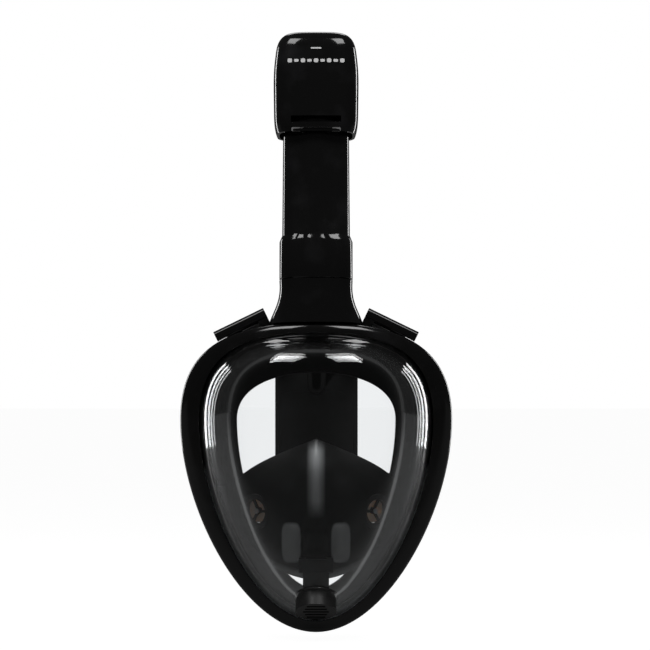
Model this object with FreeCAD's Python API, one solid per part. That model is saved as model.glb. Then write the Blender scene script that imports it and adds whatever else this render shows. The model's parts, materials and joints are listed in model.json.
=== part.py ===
import FreeCAD, Part
import math
import os

# A full face snorkel mask. Millimetres, +X to the wearer's left, -Y ahead of the face, +Z up.
# The origin is the middle of the face opening at eye height, in the plane that the face seals against.

# ---- the frame's egg-shaped outline, seen from the front ----
HALF_WIDTH = 91.8
TOP_HEIGHT = 68.0
CHIN_DEPTH = 139.2
WIDEST_Z = 2.0
TOP_HANDLE = 63.0
SIDE_HANDLE_UP = 46.5
SIDE_HANDLE_DOWN = 60.0
CHIN_HANDLE = 48.0
POINTS_PER_QUARTER = 9

# ---- the saddle that lens, skirt and frame meet on ----
SEAT_Y = -45.0
SADDLE_DEPTH = 28.0
SADDLE_TILT = 0.06

# ---- frame band: width at the top, the sides and the chin, and its heights ahead of the saddle ----
BAND = (6.5, 13.2, 8.0)
BEZEL_RISE = 8.0
BEZEL_WALL_SHARE = 0.26
FLANGE_SHARE = 0.55
LENS_FLANGE = 2.5
SKIRT_FLANGE = 2.4
RING_THICKNESS = 3.0
STACK_GAP = 0.15

# ---- lens ----
LENS_DEPTH = 40.0
LENS_WALL = 2.5
LENS_CLEARANCE = 0.5
LENS_EDGE_TOP = 4.6
LENS_EDGE_CHIN = 2.3
LENS_BLEND = (-110.0, -20.0)

# ---- skirt ----
SKIRT_DEPTH = 44.0
SKIRT_WALL = 2.4
SKIRT_STRAIGHT = 9.0
SKIRT_BEND = 24.0
OPENING_TOP = 37.0
OPENING_HALF = 54.0
OPENING_CHIN = 113.0

# ---- inner mask over nose and mouth ----
POCKET_DEPTH = 44.0
POCKET_WALL = 2.0
POCKET_TOP = -10.7
POCKET_CHIN = -106.0
POCKET_HALF = 57.0
POCKET_MIDDLE = -58.0
POCKET_CORNER = -47.0
POCKET_GABLE = 10.0
POCKET_FULLNESS = 2.4
POCKET_EDGE_Y = -13.0
POCKET_CHEEK = 13.0
NOSE_RIDGE = 7.0
NOSE_RIDGE_WIDTH = 9.0
NOSE_FOOT = -66.0

# ---- round flap valves ----
INHALE_X = 40.0
INHALE_Z = -58.5
INHALE_RADIUS = 9.0
INHALE_FORWARD = 0.6
INHALE_SINK = 3.6
CHIN_VALVE_RADIUS = 12.0
CHIN_VALVE_RECESS = 3.2
CHIN_VALVE_Z = 17.2 - CHIN_DEPTH
CHIN_VALVE_TILT = 62.0
EXHALE_RADIUS = 3.6
DRAIN_BAR = (23.0, 17.0, 9.0)
DRAIN_BAR_UP = 24.0
DRAIN_STEM = (17.4, 13.0, 22.0)
FLAP_THICKNESS = 0.9
FLAP_TRAVEL = 1.2
STEM_RADIUS = 1.0
STEM_CLEARANCE = 0.06
VALVE_WALL = 1.6

# ---- snorkel axis: leans back, and the places along it are measured from its foot ----
LEAN = 8.0
AXIS_FOOT = (0.0, SEAT_Y + 7.0, TOP_HEIGHT)
SOCKET_TOP = 27.8
PLUG_LENGTH = 21.0
SOCKET_WALL = 3.0
SOCKET_FLOOR = 4.0
PLUG_CLEARANCE = 0.2
GASKET_THICKNESS = 2.0
COLLAR_SIZE = (49.0, 33.0)
COLLAR_TOP = 54.0
COLLAR_TAPER = 4.5
TUBE_SIZE = (45.4, 30.0)
TUBE_TOP_SIZE = (44.2, 29.5)
TUBE_TOP = 141.0
LOBE = 1.6
LOBE_WIDTH = 9.0
CENTRE_CHANNEL = (7.6, 10.5)
SIDE_CHANNEL = (4.3, 7.0)
SIDE_CHANNEL_X = 15.0

# ---- dry top ----
CAP_FOOT = 126.8
CAP_TOP = 196.2
CAP_HALF = 28.6
CAP_HALF_DEPTH = 21.0
CAP_WALL = 2.0
INLET_WIDTH = 33.5
INLET_HEIGHT = 4.2
INLET_UP = 6.0
CAP_CORNERS = 0.55
CAGE_HALF = (24.0, 16.0)
FLOAT_WALL = 1.5
FLOAT_CORNER = 2.5
POST_Y = 6.0
FLOAT_SIZE = (28.0, 20.0, 15.0)
FLOAT_TRAVEL = 8.0
SEAL_THICKNESS = 1.5
GRID_THICKNESS = 2.5
PORT_RADIUS = 8.0
PORT_THICKNESS = 2.0
POST_RADIUS = 1.5
GUIDE_GAP = 0.6

# ---- head harness ----
PANEL_Y = 72.0
PANEL_HALF = 29.0
PANEL_TOP = 54.0
NOTCH_TOP = 4.4
NOTCH_FOOT = 2.7
NOTCH_Z = 21.0
PANEL_CHIN = -56.0
PANEL_THICKNESS = 3.0
PANEL_CORNER = 2.4
STRAP_THICKNESS = 2.0
UPPER_STRAP_WIDTH = 27.0
LOWER_STRAP_WIDTH = 19.0
ADJUSTER_LENGTH = 9.0
ADJUSTER_RIM = 3.0
ADJUSTER_WALL = 1.4
ADJUSTER_CLEARANCE = 0.35
STRAP_START = 6.2
STRAP_STOP = 3.0
TAB_LENGTH = 37.0
TAB_THICKNESS = 8.0
TAB_DEPTH = 7.0
CLIP_SIZE = (6.0, 20.0, 21.0)
TAB_SLOPE = 25.9

os.makedirs("parts", exist_ok=True)


def vector(x, y, z):
    return FreeCAD.Vector(x, y, z)


def save(name, shape):
    """Writes one piece as its own file."""
    shape.exportStep("parts/" + name + ".step")
    print(name, "solids", len(shape.Solids), "valid", shape.isValid(), "mm3", round(shape.Volume))


# ======================================================================================
# The outline family: every ring of the mask is the frame's outline, inset
# ======================================================================================

def bezier(a, b, c, d, t):
    s = 1 - t
    return s ** 3 * a + 3 * s * s * t * b + 3 * s * t * t * c + t ** 3 * d


def outline(inset):
    """Points (x, z) round the frame's outline, inset by (top, side, chin) millimetres."""
    top = TOP_HEIGHT - inset[0]
    half = HALF_WIDTH - inset[1]
    chin = CHIN_DEPTH - inset[2]
    wide = half / HALF_WIDTH
    high = (top - WIDEST_Z) / (TOP_HEIGHT - WIDEST_Z)
    low = (chin + WIDEST_Z) / (CHIN_DEPTH + WIDEST_Z)
    side = []
    for i in range(POINTS_PER_QUARTER):
        t = i / POINTS_PER_QUARTER
        x = bezier(0, TOP_HANDLE * wide, half, half, t)
        z = bezier(top, top, WIDEST_Z + SIDE_HANDLE_UP * high, WIDEST_Z, t)
        side.append((x, z))
    for i in range(POINTS_PER_QUARTER):
        t = i / POINTS_PER_QUARTER
        x = bezier(half, half, CHIN_HANDLE * wide, 0, t)
        z = bezier(WIDEST_Z, WIDEST_Z - SIDE_HANDLE_DOWN * low, -chin, -chin, t)
        side.append((x, z))
    other_side = [(-x, z) for x, z in reversed(side[1:])]
    return side + [(0.0, -chin)] + other_side


def saddle(x, z):
    """The y of the curved face that lens flange and skirt flange share."""
    return SEAT_Y + SADDLE_DEPTH * (x / HALF_WIDTH) ** 2 - SADDLE_TILT * z


def closed_curve(points):
    curve = Part.BSplineCurve()
    curve.interpolate(Points=points, PeriodicFlag=True)
    return Part.Wire([curve.toShape()])


def ring(inset, height):
    """The outline, inset, at a height ahead of the saddle."""
    return closed_curve([vector(x, saddle(x, z) - height, z) for x, z in outline(inset)])


def share_of_band(share, extra=0.0):
    return tuple(share * width + extra for width in BAND)


def hoop(profile):
    """A closed band round the mask from its cross-section: (inset, height) corners in order."""
    rings = [ring(inset, height) for inset, height in profile]
    return Part.Solid(Part.makeLoft(rings, True, True, True))


def solid_from(faces):
    shell = Part.Shell(faces)
    shell.sewShape()
    return Part.Solid(shell)


def mirrored(shape):
    return shape.mirror(vector(0, 0, 0), vector(1, 0, 0))


def turned(shape, direction, place):
    """Takes a piece made along +Z at the origin to a place, with its +Z along a direction."""
    turn = FreeCAD.Rotation(vector(0, 0, 1), vector(*direction))
    moved = shape.copy()
    moved.Placement = FreeCAD.Placement(vector(*place), turn)
    return moved


def on_axis(shape):
    """Takes a piece made along +Z to the snorkel's axis."""
    moved = shape.copy()
    moved.Placement = FreeCAD.Placement(vector(*AXIS_FOOT), FreeCAD.Rotation(vector(1, 0, 0), -LEAN))
    return moved


def edges_along(shape, axis):
    """The edges that start out along an axis: 0 for X, 1 for Y, 2 for Z."""
    return [edge for edge in shape.Edges if abs(edge.tangentAt(edge.FirstParameter)[axis]) > 0.99]


def plate(corners, y, thickness, radius):
    """A flat plate facing +Y from its (x, z) corners, its upright edges rounded."""
    points = [vector(x, y, z) for x, z in corners]
    face = Part.Face(Part.makePolygon(points + [points[0]]))
    solid = face.extrude(vector(0, thickness, 0))
    return solid.makeFillet(radius, edges_along(solid, 1))


# ======================================================================================
# Frame, lens and skirt
# ======================================================================================

LENS_FLANGE_FRONT = LENS_FLANGE - STACK_GAP
SKIRT_FLANGE_FRONT = -STACK_GAP
SKIRT_FLANGE_BACK = -SKIRT_FLANGE
RING_FRONT = SKIRT_FLANGE_BACK - STACK_GAP
RING_BACK = RING_FRONT - RING_THICKNESS


def front_frame():
    """The bezel: an L-section whose lip holds the lens flange from the front."""
    wall = share_of_band(BEZEL_WALL_SHARE)
    return hoop([
        (share_of_band(0.0), RING_BACK),
        (share_of_band(0.0), 1.5),
        (share_of_band(0.05), 3.2),
        (share_of_band(0.16), 4.8),
        (share_of_band(0.45), 6.7),
        (share_of_band(0.80), BEZEL_RISE),
        (share_of_band(0.94), BEZEL_RISE - 0.2),
        (share_of_band(1.0), BEZEL_RISE - 1.2),
        (share_of_band(1.0), LENS_FLANGE),
        (wall, LENS_FLANGE),
        (wall, RING_BACK),
    ])


def rear_ring():
    """The ring that snaps into the bezel from behind and clamps lens and skirt."""
    outer = share_of_band(BEZEL_WALL_SHARE, STACK_GAP)
    inner = share_of_band(1.0)
    return hoop([(outer, RING_FRONT), (inner, RING_FRONT), (inner, RING_BACK), (outer, RING_BACK)])


def lens_ring(share, depth, inset):
    """One ring of the lens dome: the outline drawn in towards the middle, and ahead of the saddle."""
    points = []
    for x, z in outline(inset):
        low, high = LENS_BLEND
        blend = min(1.0, max(0.0, (z - low) / (high - low)))
        blend = blend * blend * (3 - 2 * blend)
        edge = LENS_EDGE_CHIN + (LENS_EDGE_TOP - LENS_EDGE_CHIN) * blend
        rise = depth * math.sqrt(max(0.0, 1 - share ** edge))
        points.append(vector(x * share, saddle(x * share, z * share) - rise - LENS_FLANGE_FRONT, z * share))
    return closed_curve(points)


LENS_SHARES = (1.0, 0.994, 0.975, 0.94, 0.89, 0.82, 0.73, 0.62, 0.48, 0.32, 0.16)


def lens_dome(depth, inset, foot):
    middle = Part.Vertex(vector(0, saddle(0, 0) - depth - LENS_FLANGE_FRONT, 0))
    rings = [lens_ring(share, depth, inset) for share in LENS_SHARES]
    rings[0] = ring(inset, foot)
    return Part.makeLoft(rings + [middle], False, False)


def lens():
    """A clear shell with a flange, and a round hole at the chin for the drain valve."""
    outer = share_of_band(1.0, LENS_CLEARANCE)
    inner = share_of_band(1.0, LENS_CLEARANCE + LENS_WALL)
    flange = share_of_band(FLANGE_SHARE)
    dome = lens_dome(LENS_DEPTH, outer, LENS_FLANGE_FRONT)
    hollow = lens_dome(LENS_DEPTH - LENS_WALL, inner, 0.0)
    edges = [ring(outer, LENS_FLANGE_FRONT), ring(flange, LENS_FLANGE_FRONT)]
    edges += [ring(flange, 0.0), ring(inner, 0.0)]
    flange_faces = Part.makeLoft(edges, False, True)
    shell = solid_from(dome.Faces + hollow.Faces + flange_faces.Faces)
    return shell.cut(chin_cylinder(CHIN_VALVE_RADIUS + VALVE_WALL, -14, 14))


def skirt():
    """The soft skirt: flange, wall, rolled seal edge, and the opening for the face."""
    flange = share_of_band(FLANGE_SHARE)
    wall = share_of_band(1.0, 0.8)
    opening = (TOP_HEIGHT - OPENING_TOP, HALF_WIDTH - OPENING_HALF, CHIN_DEPTH - OPENING_CHIN)

    def toward(share, thick):
        return tuple(w + (o - w) * share + thick for w, o in zip(wall, opening))

    return hoop([
        (flange, SKIRT_FLANGE_FRONT),
        (flange, SKIRT_FLANGE_BACK),
        (wall, SKIRT_FLANGE_BACK),
        (wall, -SKIRT_STRAIGHT),
        (toward(0.10, 0.0), -SKIRT_BEND),
        (toward(0.38, 0.0), 2.0 - SKIRT_DEPTH),
        (toward(0.62, 0.0), -SKIRT_DEPTH),
        (opening, 4.5 - SKIRT_DEPTH),
        (toward(0.98, 0.0), 6.8 - SKIRT_DEPTH),
        (toward(0.62, 0.0), 2.4 - SKIRT_DEPTH),
        (toward(0.40, 1.4), 4.6 - SKIRT_DEPTH),
        (toward(0.10, SKIRT_WALL), -SKIRT_BEND),
        (toward(0.0, SKIRT_WALL), -SKIRT_STRAIGHT),
        (toward(0.0, SKIRT_WALL), SKIRT_FLANGE_FRONT),
    ])


# ======================================================================================
# Inner mask over nose and mouth
# ======================================================================================

def pocket_outline(inset):
    """Points (x, z) round the inner mask's edge: a shallow gable on top, a round chin below."""
    top = POCKET_TOP - inset
    chin = POCKET_CHIN + inset
    half = POCKET_HALF - inset
    side = []
    for i in range(POINTS_PER_QUARTER):
        t = i / POINTS_PER_QUARTER
        x = bezier(0, half * 0.46, half, half, t)
        z = bezier(top, top - POCKET_GABLE, POCKET_CORNER + 14.0, POCKET_CORNER, t)
        side.append((x, z))
    for i in range(POINTS_PER_QUARTER):
        t = i / POINTS_PER_QUARTER
        x = bezier(half, half, half * 0.52, 0, t)
        z = bezier(POCKET_CORNER, POCKET_CORNER - 32.0, chin, chin, t)
        side.append((x, z))
    return side + [(0.0, chin)] + [(-x, z) for x, z in reversed(side[1:])]


def pocket_point(x, z, share, depth, edge_y):
    """A point of the inner mask's surface, a share of the way out from its middle."""
    px = x * share
    pz = POCKET_MIDDLE + (z - POCKET_MIDDLE) * share
    rise = depth * (1 - share ** POCKET_FULLNESS) ** 0.8
    ridge = NOSE_RIDGE * math.exp(-(px / NOSE_RIDGE_WIDTH) ** 2) * (1 - share ** 6)
    bridge = 1 / (1 + math.exp(-(pz - NOSE_FOOT) / 5.0))
    return vector(px, edge_y(px) - rise - ridge * bridge, pz)


def pocket_edge_y(x):
    """The inner mask's edge sits on the face, further back at the cheeks."""
    return POCKET_EDGE_Y + POCKET_CHEEK * (x / POCKET_HALF) ** 2


POCKET_SHARES = (1.0, 0.985, 0.95, 0.89, 0.81, 0.71, 0.59, 0.45, 0.30, 0.15)


def pocket_shell(inset, depth):
    rings = []
    for share in POCKET_SHARES:
        points = [pocket_point(x, z, share, depth, pocket_edge_y) for x, z in pocket_outline(inset)]
        rings.append(closed_curve(points))
    tip = Part.Vertex(pocket_point(0, POCKET_MIDDLE, 0.0, depth, pocket_edge_y))
    return rings[0], Part.makeLoft(rings + [tip], False, False)


def inner_mask():
    outer_edge, outer = pocket_shell(0.0, POCKET_DEPTH)
    inner_edge, inner = pocket_shell(POCKET_WALL, POCKET_DEPTH - POCKET_WALL)
    rim = Part.makeLoft([outer_edge, inner_edge], False, True)
    return solid_from(outer.Faces + inner.Faces + rim.Faces)


def surface_at(shape, x, z):
    """Where a line along Y at (x, z) first meets a shape from the front, and the normal there."""
    line = Part.makeLine(vector(x, -150, z), vector(x, 60, z))
    distance, pairs, info = Part.Vertex(vector(x, -150, z)).distToShape(shape.common(line))
    point = pairs[0][1]
    face = min(shape.Faces, key=lambda f: f.distToShape(Part.Vertex(point))[0])
    u, v = face.Surface.parameter(point)
    normal = face.normalAt(u, v)
    if normal.y > 0:
        normal = normal * -1
    return point, normal


# ======================================================================================
# Round flap valves: a spoked seat, and a soft flap on a stem
# ======================================================================================

def tube_along_z(outer, inner, low, high):
    body = Part.makeCylinder(outer, high - low, vector(0, 0, low))
    if inner <= 0:
        return body
    return body.cut(Part.makeCylinder(inner, high - low, vector(0, 0, low)))


def valve_seat(radius, barrel, flange):
    """A flanged barrel with three spokes for the stem's hub. The flap sits at z = 0 and opens to +Z."""
    hub = min(2.4, 0.55 * radius)
    outer = tube_along_z(radius + VALVE_WALL, radius - 0.6, -barrel, 0)
    lip = tube_along_z(radius + VALVE_WALL + flange, radius, -barrel - 1.2, -barrel)
    foot = tube_along_z(radius + VALVE_WALL, radius - 0.6, -barrel - 1.2, -barrel)
    spokes = []
    for turn in range(3):
        spoke = Part.makeBox(radius - 0.5, 1.6, 1.6, vector(0, -0.8, -1.6))
        spokes.append(spoke.rotate(vector(0, 0, 0), vector(0, 0, 1), 90 + 120 * turn))
    body = outer.fuse([lip, foot, tube_along_z(hub, 0, -1.6, 0)] + spokes)
    return body.cut(tube_along_z(STEM_RADIUS + STEM_CLEARANCE, 0, -4, 1)).removeSplitter()


def valve_flap(radius):
    """A soft disc on a stem, with a bead that stops it falling out. It opens to +Z."""
    disc = tube_along_z(radius + 0.7, 0, 0.03, 0.03 + FLAP_THICKNESS)
    stem = tube_along_z(STEM_RADIUS, 0, -1.6 - FLAP_TRAVEL - 1.0, 0.1)
    bead = tube_along_z(1.7, 0, -1.6 - FLAP_TRAVEL - 1.0, -1.6 - FLAP_TRAVEL - 0.1)
    return disc.fuse([stem, bead]).removeSplitter()


CHIN_DIRECTION = (0.0, -math.cos(math.radians(CHIN_VALVE_TILT)), -math.sin(math.radians(CHIN_VALVE_TILT)))


def chin_place():
    """The drain valve's middle, on the lens's outer face low on the chin."""
    low = CHIN_DEPTH - BAND[2] - LENS_CLEARANCE
    share = -CHIN_VALVE_Z / low
    rise = LENS_DEPTH * math.sqrt(1 - share ** LENS_EDGE_CHIN)
    y = saddle(0, CHIN_VALVE_Z) - rise - LENS_FLANGE_FRONT
    back, up = (CHIN_VALVE_RECESS * part for part in CHIN_DIRECTION[1:])
    return (0.0, y - back, CHIN_VALVE_Z - up)


def chin_cylinder(radius, low, high):
    return turned(tube_along_z(radius, 0, low, high), CHIN_DIRECTION, chin_place())


def chin_valve():
    seat = valve_seat(CHIN_VALVE_RADIUS, 5.0, 1.4)
    flap = valve_flap(CHIN_VALVE_RADIUS - 1.2)
    cover = tube_along_z(CHIN_VALVE_RADIUS + VALVE_WALL, CHIN_VALVE_RADIUS, 0.0, 4.2)
    lid = tube_along_z(CHIN_VALVE_RADIUS + VALVE_WALL, 0, 4.2, 5.6)
    cover = cover.fuse(lid)
    for slot in range(-2, 3):
        long = 17.0 - 2.4 * abs(slot)
        cover = cover.cut(Part.makeBox(long, 2.2, 4, vector(-long / 2, 4.4 * slot - 1.1, 3)))
    place = chin_place()
    pieces = []
    for piece in (seat, flap, cover.removeSplitter()):
        pieces.append(turned(piece, CHIN_DIRECTION, place))
    return pieces


def middle_box(width, depth, height, y, z):
    """A box centred on x = 0, from its front y and its lowest z."""
    return Part.makeBox(width, depth, height, vector(-width / 2, y, z))


def drain_body():
    x, y, z = chin_place()
    bar = middle_box(*DRAIN_BAR, y - 4, CHIN_VALVE_Z + DRAIN_BAR_UP)
    stem = middle_box(*DRAIN_STEM, y - 2, CHIN_VALVE_Z + 3)
    seat_room = chin_cylinder(CHIN_VALVE_RADIUS + VALVE_WALL + 3.0, -6.3, 20)
    return bar.fuse(stem).cut(seat_room).removeSplitter()


def drain_duct():
    """Joins the mouth space to the drain valve: a cross bar, and a stem down to the seat."""
    x, y, z = chin_place()
    bore = middle_box(DRAIN_STEM[0] - 4, DRAIN_STEM[1] - 4, 40, y, CHIN_VALVE_Z - 3)
    mouth = middle_box(DRAIN_BAR[0] - 4, 30, DRAIN_BAR[2] - 3.6, y, CHIN_VALVE_Z + DRAIN_BAR_UP + 1.8)
    return drain_body().cut(bore).cut(mouth).removeSplitter()


def cheek_valve(pocket):
    """The left cheek's inhale valve: its hole, its seat, and its flap, which opens inwards."""
    point, normal = surface_at(pocket, INHALE_X, INHALE_Z)
    inwards = (vector(0, INHALE_FORWARD, 0) - normal).normalize()
    place = point + inwards * INHALE_SINK
    hole = turned(tube_along_z(INHALE_RADIUS + VALVE_WALL + 0.05, 0, -9, 3), inwards, place)
    seat = turned(valve_seat(INHALE_RADIUS, 4.4, 1.2), inwards, place)
    flap = turned(valve_flap(INHALE_RADIUS - 1.4), inwards, place)
    return hole, seat, flap, inwards


# ======================================================================================
# Snorkel tube: one bore to breathe in through, and two narrow ones to breathe out through
# ======================================================================================

def lobed_section(width, depth, lobe, height):
    """A flat oval with a swelling over the middle bore, front and back."""
    points = []
    for i in range(40):
        angle = 2 * math.pi * (i + 0.5) / 40
        c, s = math.cos(angle), math.sin(angle)
        x = width / 2 * math.copysign(abs(c) ** 0.72, c)
        y = (depth / 2 - lobe) * math.copysign(abs(s) ** 0.72, s)
        y += lobe * math.exp(-(x / LOBE_WIDTH) ** 4) * math.copysign(abs(s) ** 0.5, s)
        points.append(vector(x, y, height))
    return closed_curve(points)


def rounded_section(half, half_depth, height, power=0.62):
    """A rounded box section, squarer as the power falls."""
    points = []
    for i in range(36):
        angle = 2 * math.pi * (i + 0.5) / 36
        c, s = math.cos(angle), math.sin(angle)
        x = half * math.copysign(abs(c) ** power, c)
        y = half_depth * math.copysign(abs(s) ** power, s)
        points.append(vector(x, y, height))
    return closed_curve(points)


def channel(size, x, low, high):
    """A bore of oval section, wider front to back than side to side."""
    bar = Part.Face(Part.Wire([Part.Ellipse(vector(0, 0, low), size[1], size[0]).toShape()]))
    bar = bar.extrude(vector(0, 0, high - low)).rotate(vector(0, 0, 0), vector(0, 0, 1), 90)
    return bar.translate(vector(x, 0, 0))


def channels(low, high, grow=0.0):
    """The three bores of the tube."""
    side = (SIDE_CHANNEL[0] + grow, SIDE_CHANNEL[1] + grow)
    centre = (CENTRE_CHANNEL[0] + grow, CENTRE_CHANNEL[1] + grow)
    bores = [channel(centre, 0, low, high), channel(side, SIDE_CHANNEL_X, low, high)]
    return bores + [channel(side, -SIDE_CHANNEL_X, low, high)]


def plug_section(height, grow=0.0):
    width, depth = (size - 2 * (SOCKET_WALL + PLUG_CLEARANCE) + 2 * grow for size in COLLAR_SIZE)
    return rounded_section(width / 2, depth / 2, height, 0.72)


def snorkel_tube():
    """The collar rests on the socket, the plug goes down into it, and the tube narrows to the dry top."""
    plug = Part.makeLoft([plug_section(SOCKET_TOP - PLUG_LENGTH), plug_section(SOCKET_TOP + 1)], True, True)
    collar = Part.makeLoft([
        lobed_section(COLLAR_SIZE[0] - 1.0, COLLAR_SIZE[1] - 1.0, LOBE * 0.5, SOCKET_TOP + 0.3),
        lobed_section(COLLAR_SIZE[0], COLLAR_SIZE[1], LOBE * 0.5, SOCKET_TOP + 1.0),
        lobed_section(COLLAR_SIZE[0], COLLAR_SIZE[1], LOBE * 0.7, COLLAR_TOP),
        lobed_section(TUBE_SIZE[0], TUBE_SIZE[1], LOBE, COLLAR_TOP + COLLAR_TAPER),
        lobed_section(TUBE_TOP_SIZE[0], TUBE_TOP_SIZE[1], LOBE, TUBE_TOP),
    ], True, True)
    body = plug.fuse(collar)
    for bore in channels(0, TUBE_TOP + 1):
        body = body.cut(bore)
    return body.removeSplitter()


DUCT_FOOT_Z = TOP_HEIGHT - 13.5
DUCT_Y = (SEAT_Y + 2.5, SEAT_Y + 22.0)
DUCT_HALF = 23.0
DUCT_LOW = -42.0
EXHALE_DUCT = (-9.6, -20.0)
SIDE_WAY = (11.0, 20.5)
CENTRE_WAY = 9.0
WAY_DEPTH = 13.0
SCREW_POINTS = (5, 8, 11)


def neck_socket():
    """Receives the tube: a cup on top of the frame, whose foot passes behind the frame into the skirt."""
    cup = Part.makeLoft([
        rounded_section(31.5, 17.5, -2.0, 0.72),
        rounded_section(28.6, 17.2, 6.0, 0.72),
        rounded_section(25.6, 16.8, 14.0, 0.72),
        rounded_section(COLLAR_SIZE[0] / 2, COLLAR_SIZE[1] / 2, 20.0, 0.72),
        rounded_section(COLLAR_SIZE[0] / 2, COLLAR_SIZE[1] / 2, SOCKET_TOP, 0.72),
    ], True, False)
    bore = Part.makeLoft([
        plug_section(SOCKET_FLOOR, PLUG_CLEARANCE),
        plug_section(SOCKET_TOP + 5, PLUG_CLEARANCE),
    ], True, True)
    foot = Part.makeBox(2 * DUCT_HALF, DUCT_Y[1] - DUCT_Y[0], 18, vector(-DUCT_HALF, DUCT_Y[0], DUCT_FOOT_Z))
    foot = foot.makeFillet(3.0, edges_along(foot, 2))
    body = on_axis(cup).fuse(foot).cut(on_axis(bore)).cut(frame_room())
    low_side, high_side = SIDE_WAY
    for low, high in ((-CENTRE_WAY, CENTRE_WAY), SIDE_WAY, (-high_side, -low_side)):
        way = Part.makeBox(high - low, WAY_DEPTH, 40, vector(low, DUCT_Y[0] + 3.0, DUCT_FOOT_Z - 5))
        body = body.cut(way.cut(on_axis(Part.makeBox(80, 80, 60, vector(-40, -40, 10.0)))))
    return body.removeSplitter()


def frame_room():
    """The space that the frame's top takes out of the neck."""
    outer = share_of_band(-0.03)
    deep = share_of_band(5.0)
    front = BEZEL_RISE + 4.0
    back = RING_BACK - STACK_GAP
    return hoop([(outer, back), (outer, front), (deep, front), (deep, back),
                 (share_of_band(1.0), back), (share_of_band(BEZEL_WALL_SHARE, STACK_GAP), back)])


def socket_gasket():
    """A soft plate on the socket's floor with the three bores through it."""
    low = SOCKET_FLOOR + 0.02
    body = Part.makeLoft([plug_section(low, 0.1), plug_section(low + GASKET_THICKNESS, 0.1)], True, True)
    for bore in channels(0, 20, 0.3):
        body = body.cut(bore)
    return body


# ======================================================================================
# Dry top: a float shuts the breathing port when water comes in
# ======================================================================================

CAGE_FOOT = TUBE_TOP + 0.05
FLOAT_FOOT = CAGE_FOOT + GRID_THICKNESS + 0.1
FLOAT_TOP = FLOAT_FOOT + FLOAT_SIZE[2]
PORT_FOOT = FLOAT_TOP + SEAL_THICKNESS + FLOAT_TRAVEL + 0.05


def cap_section(share, height, inset=0.0):
    return rounded_section(CAP_HALF * share - inset, CAP_HALF_DEPTH * share - inset, height, CAP_CORNERS)


def cap_sections(inset, foot, top):
    """The cap's barrel: widest below the middle, drawn in to a low crown."""
    height = CAP_TOP - CAP_FOOT
    stations = ((0.0, 0.92), (0.03, 0.945), (0.30, 0.995), (0.45, 1.0),
                (0.80, 0.955), (0.90, 0.90), (0.955, 0.81))
    sections = [cap_section(width, CAP_FOOT + height * up - inset * up, inset) for up, width in stations]
    sections[0] = cap_section(stations[0][1], foot, inset)
    sections.append(cap_section(0.68, top - 0.9, inset))
    sections.append(cap_section(0.44, top, inset))
    return sections


def dry_top_cap():
    outer = Part.makeLoft(cap_sections(0.0, CAP_FOOT, CAP_TOP), True, False)
    inner = Part.makeLoft(cap_sections(CAP_WALL, CAP_FOOT - 1, CAP_TOP - CAP_WALL), True, False)
    body = outer.cut(inner)
    inlet = Part.makeBox(INLET_WIDTH, 12, INLET_HEIGHT, vector(-INLET_WIDTH / 2, -26, CAP_FOOT + INLET_UP))
    body = body.cut(inlet)
    for row in range(4):
        slot = Part.makeBox(24, 12, 2.4, vector(-12, 14, PORT_FOOT + 4.6 + 4.2 * row - 2.0))
        body = body.cut(slot)
    return body.removeSplitter()


def float_cage():
    """The grid that the float rests on, with four posts that guide it."""
    grid = Part.makeLoft([rounded_section(*CAGE_HALF, CAGE_FOOT, CAP_CORNERS),
                          rounded_section(*CAGE_HALF, CAGE_FOOT + GRID_THICKNESS, CAP_CORNERS)], True, True)
    for column in range(-2, 3):
        grid = grid.cut(Part.makeBox(4.0, 20.0, 10, vector(5.6 * column - 2.0, -10, CAGE_FOOT - 2)))
    posts = []
    for side in (-1, 1):
        for face in (-1, 1):
            x = side * (FLOAT_SIZE[0] / 2 + GUIDE_GAP + POST_RADIUS)
            y = face * POST_Y
            foot = vector(x, y, CAGE_FOOT + 1)
            posts.append(Part.makeCylinder(POST_RADIUS, PORT_FOOT - CAGE_FOOT - 1, foot))
    return grid.fuse(posts).removeSplitter()


def port_plate():
    """The plate over the float: its hole is the way in for air, and the rising float shuts it."""
    edge = CAP_WALL + 1.6
    half, half_depth = CAP_HALF - edge, CAP_HALF_DEPTH - edge
    heights = (PORT_FOOT, PORT_FOOT + PORT_THICKNESS)
    body = Part.makeLoft([rounded_section(half, half_depth, z, CAP_CORNERS) for z in heights], True, True)
    return body.cut(Part.makeCylinder(PORT_RADIUS, 8, vector(0, 0, PORT_FOOT - 3)))


def float_block():
    """A hollow float."""
    width, depth, height = FLOAT_SIZE
    body = Part.makeBox(width, depth, height, vector(-width / 2, -depth / 2, FLOAT_FOOT))
    body = body.makeFillet(FLOAT_CORNER, edges_along(body, 2))
    inner = [size - 2 * FLOAT_WALL for size in FLOAT_SIZE]
    room = Part.makeBox(*inner, vector(-inner[0] / 2, -inner[1] / 2, FLOAT_FOOT + FLOAT_WALL))
    return body.cut(room)


def float_seal():
    seal = Part.makeCylinder(PORT_RADIUS + 1.6, SEAL_THICKNESS - 0.02, vector(0, 0, FLOAT_TOP + 0.01))
    return seal.makeChamfer(0.5, [seal.Edges[0]])


def cap_screws():
    """Two small screws in the back of the cap that hold it to the tube's top."""
    screws = []
    for side in (-1, 1):
        head = Part.makeCylinder(2.4, 1.6, vector(0, 0, 0))
        socket = Part.makeBox(0.7, 3.4, 1, vector(-0.35, -1.7, 1.0))
        cross = Part.makeBox(3.4, 0.7, 1, vector(-1.7, -0.35, 1.0))
        screw = head.fuse(Part.makeCylinder(1.2, 3.2, vector(0, 0, -3.2))).cut(socket).cut(cross)
        y = CAP_HALF_DEPTH * 0.985 + 0.05
        screws.append(turned(screw, (0, 1, 0), (side * 13.0, y, CAP_FOOT + 12.0)))
    return Part.makeCompound(screws)


# ======================================================================================
# Head harness
# ======================================================================================

def sides(piece):
    return (("left", piece), ("right", mirrored(piece)))


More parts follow.
